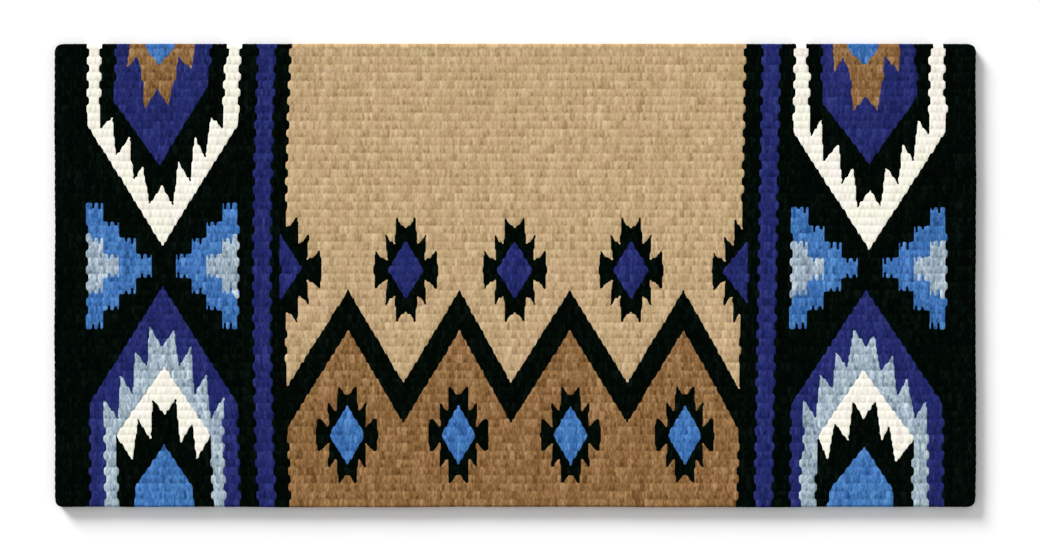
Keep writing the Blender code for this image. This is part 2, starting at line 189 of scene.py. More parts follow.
def draw_triangle(corners, number):
    """Give the cells inside a triangle the area's number."""
    points = np.array([((p.x + half_width) / CELL, (p.y - drop_line) / CELL) for p in corners])
    low, high = np.floor(points.min(0)).astype(int), np.ceil(points.max(0)).astype(int) + 1
    low, high = np.maximum(low, 0), np.minimum(high, map_shape[::-1])
    x, y = np.meshgrid(np.arange(low[0], high[0]) + 0.5, np.arange(low[1], high[1]) + 0.5)
    inside = np.ones(x.shape, bool)
    for a, b in zip(points, np.roll(points, -1, axis=0)):
        inside &= (b[0] - a[0]) * (y - a[1]) - (b[1] - a[1]) * (x - a[0]) >= 0
    area_map[low[1]:high[1], low[0]:high[0]][inside] = number


for name, node in sorted(frame["nodes"].items()):
    _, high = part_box(name)
    if high.z < cad_high.z - TOP_TOLERANCE or name.startswith("fold"):
        continue
    node.data.calc_loop_triangles()
    for triangle in node.data.loop_triangles:
        if triangle.normal.z > UPWARDS:
            draw_triangle([node.data.vertices[v].co for v in triangle.vertices], len(areas))
    areas.append(name)
print(len(areas), "areas drawn")

# %% Fill the gaps
while (area_map < 0).any():
    for to_side, from_side in (
        (area_map[1:], area_map[:-1]), (area_map[:-1], area_map[1:]),
        (area_map[:, 1:], area_map[:, :-1]), (area_map[:, :-1], area_map[:, 1:]),
    ):
        empty = (to_side < 0) & (from_side >= 0)
        to_side[empty] = from_side[empty]
slot_of = {part["node"]: part["material_slot"] for part in frame["record"]["subparts"]}
print("a map of", map_shape, "cells with no gaps left")

# %% Look up an area
MAP_EDGE_RIBS = 0.02


def areas_at(pick, down):
    """The number of the colour area at each place, given in picks across and ribs down."""
    down = np.clip(down, MAP_EDGE_RIBS, LEAF_RIBS - MAP_EDGE_RIBS)
    x = pick * PICK_WIDTH + drift(pick, down)
    y = fold_y - down * RIB_WIDTH - drop_line
    row = np.clip(y / CELL, 0, map_shape[0] - 1).astype(int)
    column = np.clip(x / CELL, 0, map_shape[1] - 1).astype(int)
    return area_map[row, column]


print("the middle of the leaf is", areas[areas_at(picks / 2, LEAF_RIBS / 2)])

# %% [markdown]
# ## Edges between two yarns
#
# A stroke is two picks wide, and the strokes of one rib stand half a stroke aside from those of the next.
# So an edge that runs straight down the blanket can't be straight: it steps half a stroke to and fro. A
# slanted edge hides that, because the weaver moves it on by a pick or two at every rib, so it only climbs a
# little faster between two ribs than within one. A narrow tip or notch still shows as one ply where it is
# finer than a face of the grid. And where an edge runs level with the ribs, as on the terraces, two yarns
# turn back in the same rib, which leaves a comb of short teeth that lean out a little.

# %% Strokes of a rib
ROUNDING = 1e-6


def strokes_at(pick, rib, turned):
    """Which stroke of its rib lies at a pick, and how far through it the pick is."""
    place = (pick - (rib + turned) % 2) / 2
    stroke = np.floor(place + ROUNDING)
    return stroke.astype(int), place - stroke


print("picks 4 to 9 of rib 0 are in strokes", strokes_at(np.arange(4, 10), 0, 0)[0])

# %% Upright edges
UPRIGHT_RIBS = 2.2
UPRIGHT_REACH = 1.8
is_terrace = np.array(["terrace" in name for name in areas])
outline = np.where(is_terrace, -1, np.arange(len(areas)))


def beside_upright_edge(stroke_middle, rib_middle):
    """Whether the outlines on both sides of a stroke run straight on for some ribs. Terraces are left out."""
    upright, in_terrace = True, True
    for aside in (-UPRIGHT_REACH, UPRIGHT_REACH):
        beside = outline[areas_at(stroke_middle + aside, rib_middle)]
        in_terrace = in_terrace & (beside < 0)
        for far in (-UPRIGHT_RIBS, UPRIGHT_RIBS):
            upright = upright & (outline[areas_at(stroke_middle + aside, rib_middle + far)] == beside)
    return upright & ~in_terrace


print(int(is_terrace.sum()), "of the areas are terraces")

# %% Narrow tips and notches
PLY_PICKS = 0.22
NARROW_PICKS = 0.8


def with_plies(area, pick, down):
    """The areas, with one ply of the other yarn where a tip or notch is finer than a face of the grid."""
    exact = areas_at(pick, down)
    narrow = (areas_at(pick - NARROW_PICKS, down) == exact) & (areas_at(pick + NARROW_PICKS, down) == exact)
    for aside in (-PLY_PICKS, PLY_PICKS):
        ply = areas_at(pick + aside, down)
        area = np.where(narrow & (ply != exact), ply, area)
    return area


# %% Teeth of the combs
TERRACE_FOOT = 31
TERRACE_MIDDLE = 27
STEP_PICKS = (6.75, 6.25)
FIRST_TOOTH = 0.22
TOOTH_PITCH = 0.4
TOOTH_SHARE = 0.58
TOOTH_HEIGHT = 0.7
TOOTH_JITTER = 0.14
JITTER_BY_STEP, JITTER_BY_TOOTH, JITTER_BY_SIDE = 9, 4, 2


def comb_teeth(from_middle, down):
    """Which places are in a tooth, and how many ribs the teeth there reach past the edge."""
    climbed = (TERRACE_FOOT - np.abs(from_middle)) / np.where(from_middle < 0, *STEP_PICKS)
    teeth = (climbed % 1 - FIRST_TOOTH) / TOOTH_PITCH
    is_tooth = (teeth < 0) | (np.abs(teeth - np.round(teeth)) < TOOTH_SHARE / 2)
    phase = JITTER_BY_STEP * np.floor(climbed) + JITTER_BY_TOOTH * np.floor(teeth)
    uneven = np.sin(phase + JITTER_BY_SIDE * np.sign(from_middle))
    height = (TOOTH_HEIGHT + TOOTH_JITTER * uneven) * np.sign(down - TERRACE_MIDDLE)
    return is_tooth, height


# %% Combs along the terraces
TOOTH_LEAN = 0.8


def with_combs(area, pick, held, down):
    """The areas, with the level edges of the terraces cut into combs."""
    left_middle = LEFT_END_PICKS + MOTIF_PICKS / 2
    right_middle = picks - RIGHT_END_PICKS - MOTIF_PICKS / 2
    from_middle = pick - np.where(pick < picks / 2, left_middle, right_middle)
    is_tooth, height = comb_teeth(from_middle, down)
    near_tips = areas_at(held, down + height / 2) != areas_at(held, down)
    leaning = held + TOOTH_LEAN * np.sign(from_middle) * near_tips
    leaning = np.where(is_terrace[areas_at(leaning, down)], leaning, held)
    own, beyond = areas_at(leaning, down), areas_at(leaning, down + height)
    in_comb = (own != beyond) & is_terrace[own]
    return np.where(in_comb, np.where(is_tooth, own, beyond), area)


# %% The yarn of every face of the weave
SETTLING = 0.3


def yarns_at(pick, down, rib, turned):
    """The area that each face of the weave belongs to, with its stepped and combed edges."""
    on_leaf = (rib >= 0) & (rib < RIBS)
    rib_middle = np.where(on_leaf, rib + 0.5, down)
    stroke, _ = strokes_at(pick, rib, turned)
    stroke_middle = 2 * stroke + 1 + (rib + turned) % 2
    upright = beside_upright_edge(stroke_middle, rib_middle)
    down = down + SETTLING * (rib_middle - down)
    held = np.where(upright, stroke_middle, pick)
    area = areas_at(held, np.where(upright, rib_middle, down))
    return with_combs(with_plies(area, pick, down), pick, held, down)


one_rib = yarns_at(np.arange(0.5, picks)[None, :], np.array([[20.5]]), np.array([[20]]), 0)
print("rib 20 crosses", len(np.unique(one_rib)), "areas")

# %% [markdown]
# ## The shape of a stroke
#
# A stroke is plump and broad: nearly level on top, with a narrow groove on either side where the next
# stroke presses on it, and lowest at its ends, where it dives under its neighbours. The ends of one rib's
# strokes push a little way between the strokes of the next rib. A bump map could hint at that, but the
# grooves have to cast shadows and to survive the export, so the depth is a rule for moving points. No two
# strokes are quite alike, so each gets its own height, width and tone from seeded random numbers.

# %% Seeded differences from stroke to stroke
STROKE_SEED = 7
TABLE = 200
LEVEL_JITTER = 0.00018
SIDE_JITTER = 0.0004
SIDE_SOFTNESS = (0.4, 1.3)
GAP_SHARE = 0.16
VALLEY_JITTER = 0.00025

rng = np.random.default_rng(STROKE_SEED)
by_stroke = (2, RIBS + 2, TABLE)
by_pick = (2, RIBS + 2, 2 * TABLE)
levels = rng.uniform(0, LEVEL_JITTER, by_stroke)
narrows = rng.uniform(-SIDE_JITTER, SIDE_JITTER, by_stroke)
softness = rng.uniform(*SIDE_SOFTNESS, by_stroke)
tones = rng.normal(0, 1, by_stroke)
yarn_tones = rng.normal(0, 1, (2, 2 * TABLE))
ply_tones = rng.normal(0, 1, by_pick)
# Strokes with an open gap beside them, where a painted shade goes later.
gaps = rng.random(by_stroke) < GAP_SHARE
valleys = rng.uniform(-VALLEY_JITTER, VALLEY_JITTER, by_pick)
print(int(gaps.sum()), "darker gaps beside", gaps.size, "strokes")

# %% Depth of the weave, down from the crest
SIDE_DEPTH = 0.00026
END_DEPTH = 0.00034
GROOVE_DEPTH = 0.00042
GROOVE_LIFT = 0.00009
AT_END = 0.999
SEAM_LIFT = 0.85
SEAM_RIBS = 0.5


def depth(pick, rib, through, turned):
    """The depth at every crossing of the lines across and the lines down."""
    rib, through, turned = rib[:, None], through[:, None], turned[:, None]
    stroke, share = strokes_at(pick[None, :], rib, turned)
    which = (turned, rib + 1, stroke % TABLE)
    from_side = np.abs(2 * share - 1)
    end = np.abs(2 * through - 1)
    deep = END_DEPTH * end**3 + SIDE_DEPTH * softness[which] * from_side**3 * (1 + end**2)
    deep = deep + levels[which] * (1 - from_side**2) * (1 - end**2)
    groove = GROOVE_DEPTH - GROOVE_LIFT * np.cos(4 * np.pi * share)
    near_seam = end**2 * ((rib < 0) | (rib + through < SEAM_RIBS))
    return np.where(end > AT_END, groove, np.minimum(deep, GROOVE_DEPTH)) * (1 - SEAM_LIFT * near_seam)


half_stroke = depth(np.array([2, 2.5, 3]), np.array([5]), np.array([0.5]), np.array([0]))
print("from the middle of a stroke to its side, in mm:", (1000 * half_stroke[0]).round(3))

# %% Ends of strokes between one another
INTERLEAVE = 0.07
PULL_PLACES = (0, 0.13, 0.3, 0.7, 0.87, 1)
PULLS = (1, 0.5, 0, 0, -0.5, -1)


def interleaved(share, through):
    """How many ribs each point is drawn between the strokes of the rib before or after."""
    pull = np.interp(through, PULL_PLACES, PULLS)
    return INTERLEAVE * pull[:, None] * np.cos(2 * np.pi * share)


print("the ends reach", round(1000 * INTERLEAVE * RIB_WIDTH, 2), "mm into the next rib")

# %% [markdown]
# ## Lines across and lines down
#
# A panel of weave is a grid: four lines to a stroke across, six to a rib down. Past the flat part the
# lines go on round the edge of the cloth, a quarter turn on each face, so the two faces meet on the rim.
# The corners of a grid would be square, so there the two quarter turns are mapped onto a quarter of a ball.

# %% Lines across
LINES_PER_PICK = 2
RIM_LINES = 4
rim_picks = half_cloth / PICK_WIDTH
first_line = int(rim_picks * LINES_PER_PICK) + 1
last_line = int((picks - rim_picks) * LINES_PER_PICK)
flat_lines = np.arange(first_line, last_line + 1) / LINES_PER_PICK
flat_lines = np.concatenate([[rim_picks], flat_lines, [picks - rim_picks]])
rim_lines = np.arange(1, RIM_LINES + 1) / RIM_LINES
rim_arc_picks = math.pi / 2 * rim_picks
pick_lines = np.concatenate(
    [rim_picks - rim_arc_picks * rim_lines[::-1], flat_lines, picks - rim_picks + rim_arc_picks * rim_lines]
)
turn_x = np.concatenate([-rim_lines[::-1], np.zeros(len(flat_lines)), rim_lines])
flat_picks = np.clip(pick_lines, rim_picks, picks - rim_picks)
line_x = (flat_picks - picks / 2) * PICK_WIDTH
pick_faces = (pick_lines[:-1] + pick_lines[1:]) / 2
print(len(pick_lines), "lines across")

# %% Depth round the ends
RIM_DEPTH = 0.0005


def rounded_off(deep, through):
    """The depth, with the strokes dying away round the two ends of the cloth."""
    rim = RIM_DEPTH * (np.abs(2 * through - 1) ** 3)[:, None]
    return deep + turn_x[None, :] ** 2 * (rim - deep)


# %% [markdown]
# ## Small wanderings of a hand-made cloth
#
# On the real blanket no rib runs dead level, the ends and the drop edge waver by half a millimetre, and the
# corners are rounded. Noise could push the points about, but two sine waves with seeded starts are as
# good, and they are easy to hold still where the leaf meets the fold.

# %% Ribs that wander
RIB_WANDER = 0.00022
LONG_WAVE = 0.05
SHORT_WAVE = 0.021
SHORT_SHARE = 0.6
STILL_RIBS = 3
waves = rng.uniform(0, 2 * np.pi, (RIBS + 3, 2))


def rib_wander(x, line):
    """How far each line between two ribs has wandered up or down."""
    phases = waves[line]
    long = np.sin(x[None, :] / LONG_WAVE + phases[:, :1])
    short = np.sin(x[None, :] / SHORT_WAVE + phases[:, 1:])
    held = np.clip(np.minimum(line, RIBS - line) / STILL_RIBS, 0, 1)[:, None]
    return RIB_WANDER * (long + SHORT_SHARE * short) * held


print("rib 20 wanders by", round(1000 * np.ptp(rib_wander(line_x, np.array([20]))), 2), "mm")

# %% Ends, drop edge and corners
EDGE_WANDER = 0.0006
EDGE_ZONE = 0.02
FOLD_ZONE = 0.03
CORNER_RADIUS = 0.008
END_WAVES = (0.037, 0.011)
DROP_WAVES = (0.06, 0.019)


def smooth(share):
    """A share from 0 to 1 that sets off and arrives gently."""
    share = np.clip(share, 0, 1)
    return share * share * (3 - 2 * share)


def shaped(points, seed):
    """The points with rounded corners in plan, and with ends and a drop edge that aren't quite straight."""
    x, y = points[..., 0], points[..., 1]
    side = np.sign(x)
    near_end = smooth(1 - (half_width - np.abs(x)) / EDGE_ZONE)
    near_drop = np.clip(CORNER_RADIUS - (y - drop_line), 0, CORNER_RADIUS)
    near_fold = np.clip(CORNER_RADIUS - (cad_high.y - y), 0, CORNER_RADIUS)
    reach = np.maximum(near_drop, near_fold)
    pull = CORNER_RADIUS - np.sqrt(CORNER_RADIUS**2 - reach**2)
    away = smooth((fold_y - y) / FOLD_ZONE)
    long, short = END_WAVES
    wave = np.sin(y / long + seed + side) + 0.5 * np.sin(y / short + 2 * seed * side)
    points[..., 0] -= side * near_end * (pull + EDGE_WANDER * away * wave / 2)
    low = smooth(1 - (y - drop_line) / EDGE_ZONE)
    long, short = DROP_WAVES
    ripple = np.sin(x / long + seed) + 0.5 * np.sin(x / short + 3 * seed)
    points[..., 1] += low * EDGE_WANDER * (1 + ripple) / 2
    return points


corner = shaped(np.array([[half_width, drop_line, 0.0]]), 0)
print("the corner is pulled in to", corner.round(4))

# %% [markdown]
# ## Smooth colour edges
#
# A face of the grid is a little over a millimetre wide, so a slanted edge between two yarns comes out as a
# staircase of faces. A finer grid would cure that at four times the weight. Instead the points on such an
# edge are drawn towards their neighbours along it, which turns the staircase into a line, and they are sunk
# a little, because each yarn rounds off where it turns back.

# %% No loose corners
CORNER_PASSES = 30


def without_loose_corners(area):
    """No yarn meets itself at a corner only: there one of the four faces changes hands."""
    for _ in range(CORNER_PASSES):
        upper_left, upper_right = area[:-1, :-1], area[:-1, 1:]
        lower_left, lower_right = area[1:, :-1], area[1:, 1:]
        falling = (upper_left == lower_right) & (upper_left != upper_right) & (upper_left != lower_left)
        lower_left[falling] = upper_left[falling]
        rising = (upper_right == lower_left) & (upper_right != upper_left) & (upper_right != lower_right)
        lower_right[rising] = upper_right[rising]
        if not falling.any() and not rising.any():
            break
    return area


# %% Colour edges of a grid
EDGE_PASSES = 2


def edge_links(area):
    """Which steps of the grid, level and upright, part two areas."""
    level = np.zeros((area.shape[0] + 1, area.shape[1]), bool)
    upright = np.zeros((area.shape[0], area.shape[1] + 1), bool)
    level[1:-1] = area[:-1] != area[1:]
    upright[:, 1:-1] = area[:, :-1] != area[:, 1:]
    return level, upright


def edge_sum(values, level, upright):
    """For every point, the sum of the values of its neighbours along the colour edges."""
    total = np.zeros(values.shape)
    total[:, :-1] += level * values[:, 1:]
    total[:, 1:] += level * values[:, :-1]
    total[:-1] += upright * values[1:]
    total[1:] += upright * values[:-1]
    return total


def smoothed(x, y, level, upright, neighbours, held):
    """The places of the points, with those on a colour edge drawn towards their neighbours along it."""
    movable = (neighbours >= 2) & (neighbours < 4) & held
    count = np.maximum(neighbours, 1)
    for _ in range(EDGE_PASSES):
        x, y = (np.where(movable, (v + edge_sum(v, level, upright) / count) / 2, v) for v in (x, y))
    return x, y


# %% [markdown]
# ## A panel of one leaf
#
# Each face of the cloth shows some ten thousand strokes. As separate objects they would be slow to handle
# and would leave gaps, so one face of one leaf is one grid, whose points are moved: sideways by the drift
# and the strokes' own widths, down the leaf by the wander of the ribs, and outwards to the strokes. The two
# inner faces are hidden while the blanket is folded, so they have fewer lines.

# %% Lines down
RIB_STEPS = (0, 0.13, 0.32, 0.5, 0.68, 0.87)
COARSE_STEPS = (0, 0.2, 0.5, 0.8)
FLAT_ROWS = 3
rim_flat = flat_length - RIBS * RIB_WIDTH
rim_arc = math.pi / 2 * half_cloth


def leaf_rows(rib_steps):
    """The lines down a leaf: their rib, how far through it, ribs from the fold and turn round the rim."""
    rib = np.repeat(np.arange(RIBS), len(rib_steps))
    through = np.tile(rib_steps, RIBS).astype(float)
    before_rim = rim_flat * np.arange(FLAT_ROWS) / FLAT_ROWS
    round_rim = rim_flat + rim_arc * np.arange(RIM_LINES + 1) / RIM_LINES
    along = np.concatenate([before_rim, round_rim])
    down = np.concatenate([rib + through, RIBS + np.minimum(along, rim_flat) / RIB_WIDTH])
    turn_y = np.concatenate([np.zeros(len(through)), np.maximum(along - rim_flat, 0) / rim_arc])
    rib = np.concatenate([rib, np.full(len(along), RIBS)])
    through = np.concatenate([through, 0.5 * along / along[-1]])
    return rib, through, down, turn_y


for steps in (RIB_STEPS, COARSE_STEPS):
    print(len(leaf_rows(steps)[0]), "lines down a face with", len(steps), "to a rib")


# %% Where the points lie in plan
def leaf_plan(rib, through, down, face, held):
    """The x of every point of a leaf and its distance from the fold, with the wander of ribs and strokes."""
    stroke, share = strokes_at(pick_lines[None, :], rib[:, None], face[:, None])
    flat_down = down[:, None] + held * interleaved(share, through)
    wander = (1 - through[:, None]) * rib_wander(line_x, rib) + through[:, None] * rib_wander(line_x, rib + 1)
    low_jitter = valleys[face[:, None], rib[:, None] + 1, np.floor(pick_lines).astype(int)[None, :] % TABLE]
    low_jitter = low_jitter * (through == 0)[:, None] * (down > 0)[:, None]
    y = flat_down * RIB_WIDTH + held * (wander + low_jitter)

    groove = np.round(stroke + share).astype(int)
    nearness = 1 - 2 * np.abs(stroke + share - groove)
    sideways = narrows[face[:, None], rib[:, None] + 1, groove % TABLE] * nearness
    sideways = sideways * (1 - np.abs(2 * through - 1)[:, None] ** 2) * held
    sideways *= (np.minimum(pick_lines - rim_picks, picks - rim_picks - pick_lines) > 1)[None, :]
    x = line_x[None, :] + sideways + drift(flat_picks[None, :], flat_down)
    return x, y


# %% Which way is out
def leaf_normals(turn_y, outwards):
    """The way out of the cloth at every point: straight out on the flat, and round a ball at the corners."""
    a, b = np.broadcast_arrays(np.abs(turn_x)[None, :], turn_y[:, None])
    a, b = a * np.sqrt(1 - b**2 / 2), b * np.sqrt(1 - a**2 / 2)
    reach = np.hypot(a, b)
    sine = np.sin(reach * np.pi / 2) / np.where(reach == 0, 1, reach)
    aside = np.sign(turn_x)[None, :] * a * sine
    return np.stack([aside, -b * sine, outwards * np.cos(reach * np.pi / 2)], -1)


# %% A panel of one leaf
DEEPEST = 0.00145
EDGE_SINK = 0.0002


def leaf_panel(middle, outwards, turned, seed, rib_steps):
    """The top and bottom points of one face of a leaf, with its areas and tones. outwards is 1 for up."""
    rib, through, down, turn_y = leaf_rows(rib_steps)
    face = np.where(rib == RIBS, 0, turned)
    down_face = (down[:-1] + down[1:])[:, None] / 2
    area = yarns_at(pick_faces[None, :], down_face, rib[:-1, None], face[:-1, None])
    area = without_loose_corners(area)
    level, upright = edge_links(area)
    neighbours = edge_sum(np.ones((len(rib), len(pick_lines))), level, upright)
    neighbours[[0, -1]] = 0

    deep = depth(pick_lines, rib, through, face)
    deep = np.minimum(deep + EDGE_SINK * (neighbours > 0), DEEPEST)
    deep = rounded_off(deep, through)
    held = (turn_y == 0)[:, None]
    x, y = leaf_plan(rib, through, down, face, held)
    x, y = smoothed(x, y, level, upright, neighbours, held)
    centre = np.stack([x, fold_y - y, np.full_like(x, middle)], -1)
    return finished_panel(
        centre, leaf_normals(turn_y, outwards), deep, area, rib, through, face, seed,
        row_starts=np.nonzero((through == 0) | (rib == RIBS))[0], flat_rows=rib < RIBS, down=down,
    )


# %% The end of every panel
STROKE_TONE = 0.7
YARN_TONE = 0.45
PLY_TONE = 0.75
# How much the tone drops beside an open gap between strokes: a painted shade where shade falls in the gap.
GAP_PAINTED_SHADE = 2.6
GAP_REACH = 0.2
GAP_START = 0.45


def finished_panel(centre, normal, deep, area, rib, through, face, seed, row_starts, flat_rows, down):
    """Move the middle surface out to the strokes and to the warps, and give each face its tone and painted
    shade.
    """
    rib_face, side_face = rib[:-1, None], face[:-1, None]
    stroke, share = strokes_at(pick_faces[None, :], rib_face, side_face)
    groove = np.round(stroke + share).astype(int)
    beside_groove = np.abs(stroke + share - groove) < GAP_REACH
    at_shaded_gap = beside_groove & gaps[side_face, rib_face + 1, groove % TABLE]
    row_end = through[1:] + (through[1:] < through[:-1])
    low_half = ((through[:-1] + row_end) / 2 > GAP_START)[:, None]
    tone = STROKE_TONE * tones[side_face, rib_face + 1, stroke % TABLE]
    tone += YARN_TONE * yarn_tones[side_face, (2 * stroke + (rib_face + side_face) % 2) % (2 * TABLE)]
    tone += PLY_TONE * ply_tones[side_face, rib_face + 1, np.floor(pick_faces).astype(int) % (2 * TABLE)]
    # Painted shade: faces beside an open gap, in the lower half of a rib, are darkened.
    tone -= GAP_PAINTED_SHADE * (at_shaded_gap & low_half)
    return {
        "top": shaped(centre + (half_cloth - deep)[..., None] * normal, seed),
        "bottom": shaped(centre + core_half * normal, seed),
        "depth": deep, "area": area, "tone": tone,
        "row_starts": row_starts, "flat_rows": flat_rows, "down": down,
    }


# %% A panel of one half of the fold
FOLD_STEPS = (0, 0.06, 0.14, 0.23, 0.32, 0.41, 0.5)
FOLD_LOOK_UP = 0.1
# Painted shade on the fold's outer face: how far its tone is lowered where that edge faces the key light.
FOLD_PAINTED_SHADE = 2.2


def fold_panel(upper, outwards, turned):
    """Half of the rib that goes round the fold, from its crest to where a leaf begins, shaded on its outer
    face.
    """
    steps = np.array(FOLD_STEPS)
    through = 1 - steps[::-1] if upper else steps
    rib = np.full(len(steps), -1)
    face = np.full(len(steps), turned)
    down_face = np.full((len(steps) - 1, 1), FOLD_LOOK_UP)
    area = yarns_at(pick_faces[None, :], down_face, rib[:-1, None], turned)
    deep = rounded_off(depth(pick_lines, rib, through, face), through)

    angle = np.pi * through[:, None]
    _, share = strokes_at(pick_lines[None, :], rib[:, None], turned)
    towards_fold = (-1 if upper else 1) * interleaved(share, through) * RIB_WIDTH
    x = (line_x + drift(flat_picks, 0))[None, :]
    y = fold_y + fold_middle_radius * np.sin(angle) + towards_fold
    z = fold_z - fold_middle_radius * np.cos(angle)
    turn = np.abs(turn_x)[None, :] * np.pi / 2
    aside = np.sign(turn_x)[None, :] * np.sin(turn)
    back, up = outwards * np.cos(turn) * np.sin(angle), -outwards * np.cos(turn) * np.cos(angle)
    panel = finished_panel(
        np.stack(np.broadcast_arrays(x, y, z), -1), np.stack(np.broadcast_arrays(aside, back, up), -1),
        deep, area, rib, through, face, 0,
        row_starts=np.arange(len(steps)), flat_rows=rib >= 0, down=through - 1,
    )
    # Painted shade: the outer face's tone is lowered so the edge that faces the key light renders darker.
    panel["tone"] -= FOLD_PAINTED_SHADE * (outwards > 0)
    return panel


# %% [markdown]
# ## From a panel to pieces
#
# One grid holds every colour, and each piece is the part of the grid in its own yarn. A piece is a closed
# shell: the strokes on top, a plain underside, and walls between the two wherever another yarn begins.
# The underside never shows, so wherever a whole block of faces is in the same yarn, one face stands for
# the block. Its outline keeps the grid's points only on the sides where its neighbour is cut finer. The
# strokes are shaded smoothly and the rest is not, so the edges between the two are marked as sharp.
# Without that the walls would bend the normals of the strokes' outermost points, and a dark or bright line
# would run round every piece.

# %% Underside of a piece
COLUMNS_PER_BLOCK = 4


def blocks_of(panel, mask):
    """The whole blocks of a mask: their row and column starts, and which of them are whole."""
    rows = panel["row_starts"]
    columns = np.append(np.arange(0, mask.shape[1], COLUMNS_PER_BLOCK), mask.shape[1])
    counts = np.add.reduceat(np.add.reduceat(mask.astype(int), rows[:-1], axis=0), columns[:-1], axis=1)
    whole = counts == np.outer(np.diff(rows), np.diff(columns))
    whole &= panel["flat_rows"][rows[:-1]][:, None]
    curved = np.add.reduceat((np.abs(turn_x[:-1]) + np.abs(turn_x[1:]) > 0).astype(int), columns[:-1]) > 0
    return rows, columns, whole & ~curved[None, :]


def block_outlines(under, rows, columns, whole):
    """The outline of each whole block, clockwise from above."""
    fine = ~np.pad(whole, 1)
    outlines = []
    for r, c in zip(*np.nonzero(whole)):
        top, bottom, left, right = rows[r], rows[r + 1], columns[c], columns[c + 1]
        outline = [*under[top, left:right]] if fine[r, c + 1] else [under[top, left]]
        outline += [*under[top:bottom, right]] if fine[r + 1, c + 2] else [under[top, right]]
        outline += [*under[bottom, right:left:-1]] if fine[r + 2, c + 1] else [under[bottom, right]]
        outline += [*under[bottom:top:-1, left]] if fine[r + 1, c] else [under[bottom, left]]
        outlines.append(outline)
    return outlines


# %% Faces of one closed piece
# Each row has a neighbour's step in rows and columns, and the two corners of the wall that faces it.
WALLS = (
    ((-1, 0), (0, 0), (0, 1)),
    ((1, 0), (1, 1), (1, 0)),
    ((0, -1), (1, 0), (0, 0)),
    ((0, 1), (0, 1), (1, 1)),
)


def piece_faces(panel, mask):
    """The quads that never show, the outlines of the blocks underneath, and the quads of the strokes."""
    shape = panel["top"].shape[:2]
    index = np.arange(shape[0] * shape[1]).reshape(shape)
    under = index + index.size
    padded = np.pad(mask, 1)
    hidden = []
    for (row, column), (row_1, column_1), (row_2, column_2) in WALLS:
        beyond = padded[1 + row:, 1 + column:][:mask.shape[0], :mask.shape[1]]
        r, c = np.nonzero(mask & ~beyond)
        first, second = (r + row_1, c + column_1), (r + row_2, c + column_2)
        hidden.append(np.stack([index[first], index[second], under[second], under[first]], -1))
    rows, columns, whole = blocks_of(panel, mask)
    covered = np.repeat(np.repeat(whole, np.diff(rows), axis=0), np.diff(columns), axis=1)
    r, c = np.nonzero(mask & ~covered)
    hidden.append(np.stack([under[r, c], under[r, c + 1], under[r + 1, c + 1], under[r + 1, c]], -1))
    r, c = np.nonzero(mask)
    shown = np.stack([index[r, c], index[r + 1, c], index[r + 1, c + 1], index[r, c + 1]], -1)
    return np.concatenate(hidden), block_outlines(under, rows, columns, whole), shown


# %% Build one closed piece from a mask of the grid
def piece_mesh(name, panel, mask, flip):
    """A closed mesh of the masked faces, with the strokes' tone and depth kept for the material."""
    hidden, outlines, shown = piece_faces(panel, mask)
    if flip:
        shown, hidden, outlines = shown[:, ::-1], hidden[:, ::-1], [outline[::-1] for outline in outlines]
    sides = np.array([4] * len(hidden) + [len(outline) for outline in outlines] + [4] * len(shown))
    corner = np.concatenate([hidden.ravel(), *outlines, shown.ravel()]).astype(int)
    used, corner = np.unique(corner, return_inverse=True)
    points = np.concatenate([panel["top"].reshape(-1, 3), panel["bottom"].reshape(-1, 3)])[used]
    crest = 1 - panel["depth"].ravel() / DEEPEST
    crest = np.concatenate([crest, np.zeros(len(crest))])[used]

    mesh = bpy.data.meshes.new(name)
    mesh.vertices.add(len(points))
    mesh.vertices.foreach_set("co", points.astype(np.float32).ravel())
    mesh.loops.add(len(corner))
    mesh.loops.foreach_set("vertex_index", corner.astype(np.int32))
    mesh.polygons.add(len(sides))
    mesh.polygons.foreach_set("loop_start", (np.cumsum(sides) - sides).astype(np.int32))
    mesh.update(calc_edges=True)

    on_top = np.arange(len(sides)) >= len(sides) - len(shown)
    corner_on_top = np.repeat(on_top, sides)
    mesh.polygons.foreach_set("use_smooth", on_top)
    edge = np.zeros(len(corner), np.int32)
    mesh.loops.foreach_get("edge_index", edge)
    sharp = np.zeros(len(mesh.edges), bool)
    sharp[edge[~corner_on_top]] = True
    mesh.edges.foreach_set("use_edge_sharp", sharp)
    tone = np.zeros(len(sides), np.float32)
    tone[on_top] = panel["tone"][mask]
    mesh.attributes.new("tone", "FLOAT", "FACE").data.foreach_set("value", tone)
    mesh.attributes.new("crest", "FLOAT", "POINT").data.foreach_set("value", crest.astype(np.float32))
    lay_flat(mesh, panel, used, corner, corner_on_top)
    mesh.validate()
    return mesh


# %% Lay a piece out flat for baking
HIDDEN_STRIP = 0.02


def lay_flat(mesh, panel, used, corner, on_top):
    """The strokes laid out flat for baking, with all that never shows in a narrow strip beside them."""
    wide, long = np.broadcast_arrays(pick_lines[None, :], -panel["down"][:, None])
    place = np.stack([np.tile(wide.ravel(), 2)[used], np.tile(long.ravel(), 2)[used]], -1)[corner]
    place = (place - place.min(0)) / np.maximum(np.ptp(place, axis=0), ROUNDING)
    above = HIDDEN_STRIP + (1 - HIDDEN_STRIP) * place[:, 1]
    place[:, 1] = np.where(on_top, above, HIDDEN_STRIP / 2 * place[:, 1])
    mesh.uv_layers.new(name="OFBake").data.foreach_set("uv", place.astype(np.float32).ravel())


# %% [markdown]
# ## Wool
#
# The yarn is matt and a little hairy. Its colour is never even: the dye takes differently from stroke to
# stroke, and fine fibres run along each stroke. Real hairs would be far too many and are lost in the export.
# So the tone of a stroke comes with the mesh, the fibres are a noise stretched along the yarn that also
# makes a faint bump, and the hollows get a painted shade, darker because less light gets in there.

